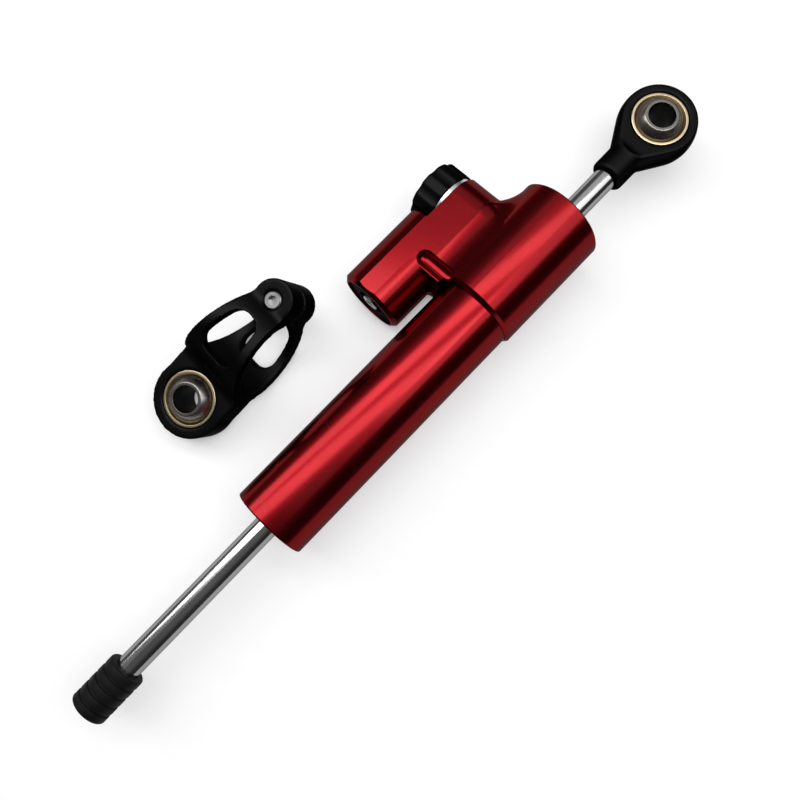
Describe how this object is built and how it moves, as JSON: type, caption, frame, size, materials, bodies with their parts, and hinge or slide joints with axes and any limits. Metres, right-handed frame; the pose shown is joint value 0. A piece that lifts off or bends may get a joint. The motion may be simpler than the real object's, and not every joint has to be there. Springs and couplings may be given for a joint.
{
  "type": "motorcycle steering damper",
  "caption": "Linear steering damper with a through rod, side reservoir, click adjuster, rod-end bearing and a separate split frame clamp.",
  "frame": {"origin": "centre of the rod-end ball", "axes": "+X along the rod towards the eye, +Z along the rod end's bore, up from the surface that the damper lies on"},
  "size_m": [0.2463, 0.0675, 0.0304],
  "materials": {
    "red_anodised": "polished red anodising",
    "black_anodised": "satin black anodising",
    "black_steel": "satin black",
    "polished_rod": "hard chrome, polished",
    "bearing_steel": "ground and polished",
    "bearing_brass": "satin",
    "silver_aluminium": "plain anodised",
    "screw_steel": "bright",
    "stop_rubber": "matt",
    "seal_rubber": "matt"
  },
  "bodies": {
    "barrel": {"main_tube": "red_anodised", "head_block": "red_anodised", "lower_guide": "silver_aluminium", "lower_guide_oring": "seal_rubber", "lower_wiper": "seal_rubber", "lower_seal": "seal_rubber", "lower_circlip": "screw_steel", "head_bush": "bearing_brass", "head_seal": "seal_rubber", "head_wiper": "seal_rubber", "indicator_ring": "silver_aluminium", "valve_gland": "silver_aluminium", "detent_ball": "bearing_steel", "detent_spring": "screw_steel", "reservoir_cap": "black_anodised", "cap_oring": "seal_rubber", "gas_screw": "screw_steel"},
    "piston": {"piston": "silver_aluminium", "piston_ring": "seal_rubber"},
    "rod": {"piston_rod": "polished_rod", "piston_clips": "screw_steel", "bump_stop": "stop_rubber", "rod_end_housing": "black_steel", "rod_end_race": "bearing_brass"},
    "rod_ball": {"rod_end_ball": "bearing_steel"},
    "adjuster": {"adjuster_knob": "black_anodised", "knob_screw": "screw_steel"},
    "needle": {"needle_valve": "screw_steel", "needle_oring": "seal_rubber"},
    "gas_piston": {"floating_piston": "silver_aluminium", "floating_piston_ring": "seal_rubber"},
    "clamp": {"clamp_body": "black_anodised", "clamp_bolt": "screw_steel", "clamp_race": "bearing_brass"},
    "clamp_swivel": {"clamp_ball": "bearing_steel"}
  },
  "joints": [
    {"name": "rod_slide", "type": "slide", "parent": "barrel", "child": "piston", "axis": [1, 0, 0], "range_m": [-0.018, 0.056]},
    {"name": "rod_spin", "type": "hinge", "parent": "piston", "child": "rod", "pos_m": [0, 0, 0], "axis": [1, 0, 0], "continuous": true},
    {"name": "rod_end_swivel", "type": "hinge", "parent": "rod", "child": "rod_ball", "pos_m": [0, 0, 0], "axis": [0, 1, 0], "range_deg": [-13, 13]},
    {"name": "adjuster_turn", "type": "hinge", "parent": "barrel", "child": "adjuster", "pos_m": [-0.0601, 0, 0], "axis": [0, 0.9936, -0.1132], "range_deg": [-180, 360]},
    {"name": "needle_slide", "type": "slide", "parent": "barrel", "child": "needle", "axis": [0, 0.9936, -0.1132], "range_m": [-0.0005, 0.001]},
    {"name": "gas_piston_slide", "type": "slide", "parent": "barrel", "child": "gas_piston", "axis": [1, 0, 0], "range_m": [-0.006, 0.0045]},
    {"name": "clamp_lift", "type": "slide", "parent": "barrel", "child": "clamp", "axis": [0, 0, 1], "range_m": [0, 0.06]},
    {"name": "clamp_swivel_turn", "type": "hinge", "parent": "clamp", "child": "clamp_swivel", "pos_m": [-0.15543, 0.04289, -0.00611], "axis": [-0.0628, -0.998, 0], "range_deg": [-13, 13]}
  ],
  "couplings": [
    {"joint": "needle_slide", "follows": "adjuster_turn", "m_per_rad": 0.00015915}
  ]
}
